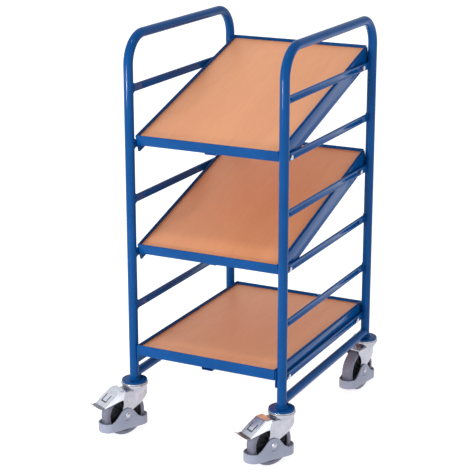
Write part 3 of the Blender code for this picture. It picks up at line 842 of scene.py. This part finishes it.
def bell_piece():
    """The round head of the fork, which runs down into its flanks at the front."""
    outside = [(0.0372, 0.1438), (0.0376, 0.1405), (0.0368, 0.137), (0.0335, 0.132)]
    outside += [(0.0296, 0.125), (0.0265, 0.117), (0.0240, 0.108), (0.0226, 0.098)]
    inside = [(radius - 0.0028, height) for radius, height in reversed(outside[2:])]
    inside += [(0.0325, 0.1395), (0.0325, 0.1438)]
    bell = turned("bell", outside + inside, 72, closed=True)
    keep = [(-0.05, 0.150), (-0.05, 0.1165), (-0.0305, 0.1145), (-0.018, 0.1045), (-0.006, 0.0970)]
    keep += [(0.034, 0.0970), (0.045, 0.110), (0.045, 0.150)]
    keeper = upright_plate("keeper", rounded(keep, 0.004, 4), -CUTTER / 2, CUTTER, 1)
    return boolean(bell, [keeper], "INTERSECT")


def fork_piece(braked):
    """The pressed fork: shell, crown and head in one, cleared round the wheel and the king pin."""
    shell = shell_piece(braked)
    section = crown_shape()
    stations = (-0.004, 0.010, 0.03, FORK_REAR + 0.0005)
    crown = grid_mesh("crown", [[(x, y, z) for y, z in section] for x in stations])
    web = turned("web", [(0, 0.1438), (0.033, 0.1438), (0.033, 0.139), (0, 0.139)], 72)
    fork = boolean(crown, [bell_piece(), web, shell], "UNION")
    room, half = 0.0648, 0.0178
    clearance = turned("clearance", [(0, half), (room, half), (room, -half), (0, -half)], 96)
    transform(clearance, Matrix.Translation(AXLE_SPOT) @ ALONG_Y)
    pin = turned("pin", [(0, 0.16), (0.0066, 0.16), (0.0066, 0.11), (0, 0.11)], 32)
    return boolean(fork, [clearance, pin], "DIFFERENCE")


def guard_shape():
    """The guard's web: broad at the ring, with hollow flanks up to a round eye at the axle."""
    points = [(-0.0285, 0.0245), (0.1085, 0.0245), (0.1085, 0.046), (0.082, 0.0475)]
    points += [(0.0570, 0.0755), (TRAIL, 0.0835), (0.0230, 0.0755), (0.001, 0.0475)]
    points.append((-0.0285, 0.046))
    radii = [0, 0, 0, 0.032, 0.012, 0.030, 0.012, 0.032, 0]
    return rounded(points, radii, 8)


def guard_slot():
    """The slot in the guard's web, under the axle."""
    corners = [(0.0325, 0.0425), (0.0480, 0.0437), (0.0480, 0.0482), (0.0325, 0.0470)]
    return rounded(corners, 0.0008, 3)


def oblong(half_length, half_width):
    """Two half circles round the wheel, joined by straight sides."""
    reach = half_length - half_width
    rear = arc((TRAIL + reach, 0), half_width, -90, 90, 24)
    return rear + arc((TRAIL - reach, 0), half_width, 90, 270, 24)


def slot_shade_piece():
    """Dark strips of painted shade that fill the slots in the guard's webs, a little below their
    faces.
    """
    sides = [upright_plate("slot_shade", guard_slot(), 0.0231, 0.0034, side, 0.0003) for side in (-1, 1)]
    return joined("slot_shade", sides)


def guard_piece():
    """The foot guard: a smooth oblong ring with a rounded rim, and its two webs."""
    wall, low, high = 0.0035, 0.021, 0.047
    corners = [(0, low), (0, high), (-wall, high), (-wall, low)]
    section = rounded(corners, [0.0012, 0.0016, 0.0012, 0.0010], 4)
    rings = []
    outline = oblong(0.075, 0.0272)
    for i, (x, y) in enumerate(outline):
        before, after = Vector(outline[i - 1]), Vector(outline[(i + 1) % len(outline)])
        tangent = (after - before).normalized()
        outward = Vector((tangent.y, -tangent.x))
        rings.append([(x + outward.x * out, y + outward.y * out, z) for out, z in section])
    ring = grid_mesh("ring", rings, closed_path=True)
    hole = [(TRAIL + x, WHEEL + z) for x, z in circle(0.0062, 32)]
    # The webs end where the ring's straight sides do.
    reach = 0.0478
    flat = [(max(TRAIL - reach, min(TRAIL + reach, x)), z) for x, z in guard_shape()]
    gaps = [hole, guard_slot()]
    webs = [upright_plate("web", flat, 0.0229, 0.0042, side, 0.0007, gaps) for side in (-1, 1)]
    return joined("guard", [ring, *webs])


def axle_piece():
    """The wheel's bolt: a domed head on one side, a nut and thread on the other."""
    face = 0.0274
    head = [(0, 0.0038), (0.0028, 0.0037), (0.0050, 0.0030), (0.0063, 0.0018), (0.0066, 0.0008)]
    head += [(0.0082, 0.0007), (0.0084, 0.0), (0, 0)]
    dome = transform(turned("dome", head, 48), Matrix.Translation((0, face, 0)) @ ALONG_Y)
    nut = hexagon_piece(0.0146, 0.0040)
    transform(nut, Matrix.Translation((0, -face, 0)) @ ALONG_Y.inverted())
    end = -face - 0.0042
    shank = turned("shank", [(0, face), (0.005, face), (0.005, end), (0, end)], 32)
    transform(shank, ALONG_Y)
    return joined("axle", [dome, nut, shank])


def tyre_piece():
    """The tyre: a slightly crowned tread with soft shoulders."""
    half, bore = 0.016, 0.0499
    upper = [(bore, half - 0.0004), (0.0575, half), (0.0612, half - 0.0022), (0.0624, 0.009)]
    points = [*upper, (WHEEL, 0.0), *((radius, -height) for radius, height in reversed(upper))]
    profile = rounded(points, [0, 0.003, 0.004, 0.02, 0.1, 0.02, 0.004, 0.003, 0], 5)
    return transform(turned("tyre", profile, 120, closed=True), ALONG_Y)


def core_piece():
    """The wheel's core: a lipped rim, a recessed web with ribs, and a hub."""
    ribs, rib_width = 10, 0.0022

    def relief(radius, height, angle):
        if not 0.0165 < radius < 0.0435:
            return 0.0
        across = abs((angle * ribs / (2 * math.pi) + 0.5) % 1 - 0.5) * 2 * math.pi * radius / ribs
        rise = max(0.0, min(1.0, (rib_width - across) / 0.0012)) * 0.0042
        return math.copysign(rise, height)

    upper = [(0.0053, 0.0165), (0.0118, 0.0165), (0.0128, 0.0157), (0.0140, 0.0080)]
    upper += [(0.0165, 0.0070), (0.0170, 0.0070), (0.0430, 0.0070), (0.0436, 0.0070)]
    upper += [(0.0460, 0.0085), (0.0468, 0.0140), (0.0475, 0.0147), (0.0492, 0.0147)]
    upper.append((0.0497, 0.0142))
    profile = upper + [(radius, -height) for radius, height in reversed(upper)]
    return transform(turned("core", profile, 240, closed=True, relief=relief), ALONG_Y)


def height_on(line, x):
    """The height of an open line of (x, z) points at one x."""
    for (x0, z0), (x1, z1) in zip(line, line[1:]):
        if x <= x1:
            return z0 + (z1 - z0) * (x - x0) / (x1 - x0)
    return line[-1][1]


def pedal_piece():
    """A pressed pedal: a bent top with rounded shoulders, deep skirts and a cut-out tongue."""
    bends = [(0.0455, 0.1366), (0.064, 0.1360), (0.0925, 0.1168), (0.1125, 0.0994)]
    skirt = [(0.040, 0.1285), (0.0490, 0.1275), (0.0515, 0.1085), (0.0660, 0.1070), (0.12, 0.095)]
    line = rounded(bends, [0, 0.012, 0.02, 0], 8, False)
    rings = []
    for spot in along([(x, 0, z) for x, z in line], 0.0016):
        hem = min(height_on(skirt, spot.x), spot.z - 0.0036)
        corners = [(-PEDAL_HALF, hem), (-PEDAL_HALF, spot.z), (PEDAL_HALF, spot.z)]
        corners.append((PEDAL_HALF, hem))
        section = rounded(corners, [0, 0.0032, 0.0032, 0], 6, False)
        rings.append([(spot.x, y, z) for y, z in section])
    skin = grid_mesh("pedal", rings, closed_rings=False)
    modifier = skin.modifiers.new("wall", "SOLIDIFY")
    modifier.thickness = 0.0020
    modifier.offset = -1.0
    modifier.use_even_offset = True
    skin = baked(skin)
    slot, reach, half = 0.0034, 0.0130, 0.0125
    shape = [(-reach, -half), (reach, -half), (reach, half), (-reach, half), (-reach, half - slot)]
    shape += [(reach - slot, half - slot), (reach - slot, slot - half), (-reach, slot - half)]
    middle = Matrix.Translation((0.0920, 0, 0.1168)) @ Matrix.Rotation(math.radians(37.5), 4, "Y")
    cutter = transform(plate("cutter", [shape], 0.012, 0.0), middle)
    skin = boolean(skin, [cutter], "DIFFERENCE")
    face = rounded(rectangle(-0.008, 0.006, -0.0070, 0.0070), 0.002, 5)
    pad = transform(plate("pad", [face], 0.0024, 0.0007), middle)
    return joined("pedal", [skin, pad])


def under_pedal_shade_piece():
    """Dark strips of painted shade under the pedal, which show through its cut and before its lip.
    """
    parts = []
    for spot, tilt, shape in (
        ((0.0880, 0, 0.1166), 36.5, rounded(rectangle(-0.016, 0.016, -0.0165, 0.0165), 0.002, 4)),
        ((0.1132, 0, 0.0970), 30, rounded(rectangle(-0.0028, 0.0028, -0.0238, 0.0238), 0.001, 4)),
    ):
        place = Matrix.Translation(spot) @ Matrix.Rotation(math.radians(tilt), 4, "Y")
        parts.append(transform(plate("strip", [shape], 0.0012, 0.0003), place))
    return joined("under_pedal_shade", parts)


def lip_piece():
    """The pedal's tip: a separate pressed strip that curls down and then up to its end."""
    line = [(0.1142, 0.1003), (0.1190, 0.0985), (0.1260, 0.1005), (0.1350, 0.1066)]
    rings = []
    for x, z in rounded(line, [0, 0.008, 0.012, 0], 8, False):
        end = max(0.0, (x - 0.1300) / 0.0050)
        half = PEDAL_HALF - 0.0002 - 0.0035 * end**2
        thick = 0.0021 - 0.0006 * end
        section = rounded(rectangle(-half, half, -thick, 0), thick * 0.42, 4)
        rings.append([(x, y, z + up) for y, up in section])
    return grid_mesh("lip", rings)


def build_casters():
    flange, cup, guard = flange_piece(), cup_piece(), guard_piece()
    forks = {True: fork_piece(True), False: fork_piece(False)}
    slot_shade = slot_shade_piece()
    axle, tyre, core = axle_piece(), tyre_piece(), core_piece()
    pedal, lip, under_pedal_shade = pedal_piece(), lip_piece(), under_pedal_shade_piece()
    for corner in CORNERS:
        local = caster_matrix(corner)
        upright = Matrix.Translation(local.translation)
        wheel = local @ Matrix.Translation(AXLE_SPOT)
        caster, spin, brake = f"caster_{corner}", f"wheel_{corner}", f"pedal_{corner}"
        fork = forks[corner in BRAKED]
        show(flange, f"foot_plate_{corner}", BLUE, ROOT, upright, (f"flange_{corner}",))
        show(cup, f"swivel_cup_{corner}", BRIGHT_ZINC, ROOT, upright)
        show(fork, f"caster_fork_{corner}", ZINC, caster, local, (f"fork_{corner}",))
        show(guard, f"guard_{corner}", GUARD, caster, local, (f"foot_guard_{corner}",))
        # The dark strips in the guard's slots are painted shade.
        show(slot_shade, f"guard_slot_shade_{corner}", CORE, caster, local)
        show(axle, f"axle_bolt_{corner}", ZINC, caster, wheel, (f"axle_{corner}",))
        show(tyre, f"tyre_ring_{corner}", TYRE, spin, wheel, (f"tyre_{corner}",))
        show(core, f"wheel_disc_{corner}", CORE, spin, wheel, (f"wheel_core_{corner}",))
        if corner in BRAKED:
            replaced = (f"brake_pedal_{corner}",)
            # The pedal's plate wears zinc painted paler, as painted light.
            show(pedal, f"brake_plate_{corner}", PEDAL_ZINC_PAINTED_LIGHT, brake, local, replaced)
            # The lip wears zinc painted darker, as painted shade.
            show(lip, f"pedal_lip_{corner}", LIP_ZINC_PAINTED_SHADE, brake, local)
            # The dark strips under the pedal are painted shade.
            show(under_pedal_shade, f"pedal_under_shade_{corner}", CORE, brake, local)


# ---------------------------------------------------------------- stage

# Each panel's place, in turns round the studio, and its brightness.
PANELS = ((0.0, 1.0), (0.10, 0.6), (0.16, 1.1), (0.24, 1.0), (0.28, 0.3), (0.38, 0.3))
PANELS += ((0.42, 0.9), (0.55, 0.6), (0.66, 0.7), (0.80, 0.9), (0.88, 1.0))
# Each light's name, shape, place from the centre, size and power in watts.
LIGHTS = (
    ("key", "ELLIPSE", (-0.9, -3.8, 1.5), (2.6, 2.6), 20.0),
    ("fill", "ELLIPSE", (3.6, -1.2, 1.7), (2.0, 2.0), 9.0),
    ("spark", "ELLIPSE", (-0.3, -1.0, 3.4), (0.45, 0.45), 13.0),
    ("bar", "RECTANGLE", (-0.82, -2.56, 0.60), (0.70, 0.06), 24.0),
)
# The camera: its place from the centre, and the way it looks, in radians.
EYE = (1.7394, -3.6247, 1.7312)
YAW, PITCH, ROLL = -0.45962, 0.29437, 0.00054


def build_floor():
    """A plain pale floor, which glows a little so that it stays even."""
    floor = link("floor", bpy.data.meshes.new("floor"))
    work = bmesh.new()
    bmesh.ops.create_grid(work, x_segments=1, y_segments=1, size=30.0)
    work.to_mesh(floor.data)
    work.free()
    ground = Shader("floor_white", (0.60, 0.60, 0.60), 0.9)
    ground.bump(ground.noise(40.0, 2.0), 0.0002)
    ground.set("Emission Color", (1.0, 1.0, 1.0, 1.0))
    ground.set("Emission Strength", 0.74)
    floor.data.materials.append(ground.material)


def build_surround():
    """A pale surround with upright panels, which polished metal shows as soft bands."""
    world = bpy.data.worlds.new("surround")
    world.use_nodes = True
    tree = world.node_tree
    nodes, links = tree.nodes, tree.links
    place = nodes.new("ShaderNodeTexCoord").outputs["Generated"]
    split = nodes.new("ShaderNodeSeparateXYZ")
    links.new(place, split.inputs["Vector"])
    height = nodes.new("ShaderNodeValToRGB")
    fill_ramp(height, [(0.0, (0.85, 0.85, 0.87)), (0.8, (1.0, 1.0, 1.0))])
    links.new(split.outputs["Z"], height.inputs["Fac"])
    around = nodes.new("ShaderNodeTexGradient")
    around.gradient_type = "RADIAL"
    links.new(place, around.inputs["Vector"])
    panels = nodes.new("ShaderNodeValToRGB")
    fill_ramp(panels, [(turn, (level,) * 3) for turn, level in PANELS])
    links.new(around.outputs["Color"], panels.inputs["Fac"])
    seen = multiply(tree, 0.6, height.outputs["Color"], panels.outputs["Color"])
    links.new(seen, nodes["Background"].inputs["Color"])
    nodes["Background"].inputs["Strength"].default_value = 0.85
    bpy.context.scene.world = world


def build_lights():
    """Large soft lights, a small high one and a low bar, all aimed at the middle of the cart."""
    target = CENTRE + Vector((0, 0, 0.55))
    for name, shape, spot, size, power in LIGHTS:
        light = bpy.data.lights.new(name, "AREA")
        light.shape = shape
        light.size, light.size_y = size
        light.energy = power
        lamp = link(name, light)
        lamp.location = CENTRE + Vector(spot)
        lamp.rotation_euler = (target - lamp.location).to_track_quat("-Z", "Y").to_euler()


def build_camera():
    camera = bpy.data.cameras.new("camera")
    camera.lens = 113.49
    camera.sensor_width = 36.0
    camera.clip_start, camera.clip_end = 0.1, 100.0
    viewer = link("camera", camera)
    level = math.cos(PITCH)
    forward = Vector((math.sin(YAW) * level, math.cos(YAW) * level, -math.sin(PITCH)))
    right = Vector((math.cos(YAW), -math.sin(YAW), 0))
    up = right.cross(forward)
    axes = Matrix((right, up, -forward)).transposed().to_4x4() @ Matrix.Rotation(ROLL, 4, "Z")
    viewer.matrix_world = Matrix.Translation(CENTRE + Vector(EYE)) @ axes
    bpy.context.scene.camera = viewer
    bpy.context.scene.view_settings.view_transform = "Standard"


build_camera()
build_floor()
build_surround()
build_lights()
build_side_frames()
build_trays()
build_bolts()
build_casters()
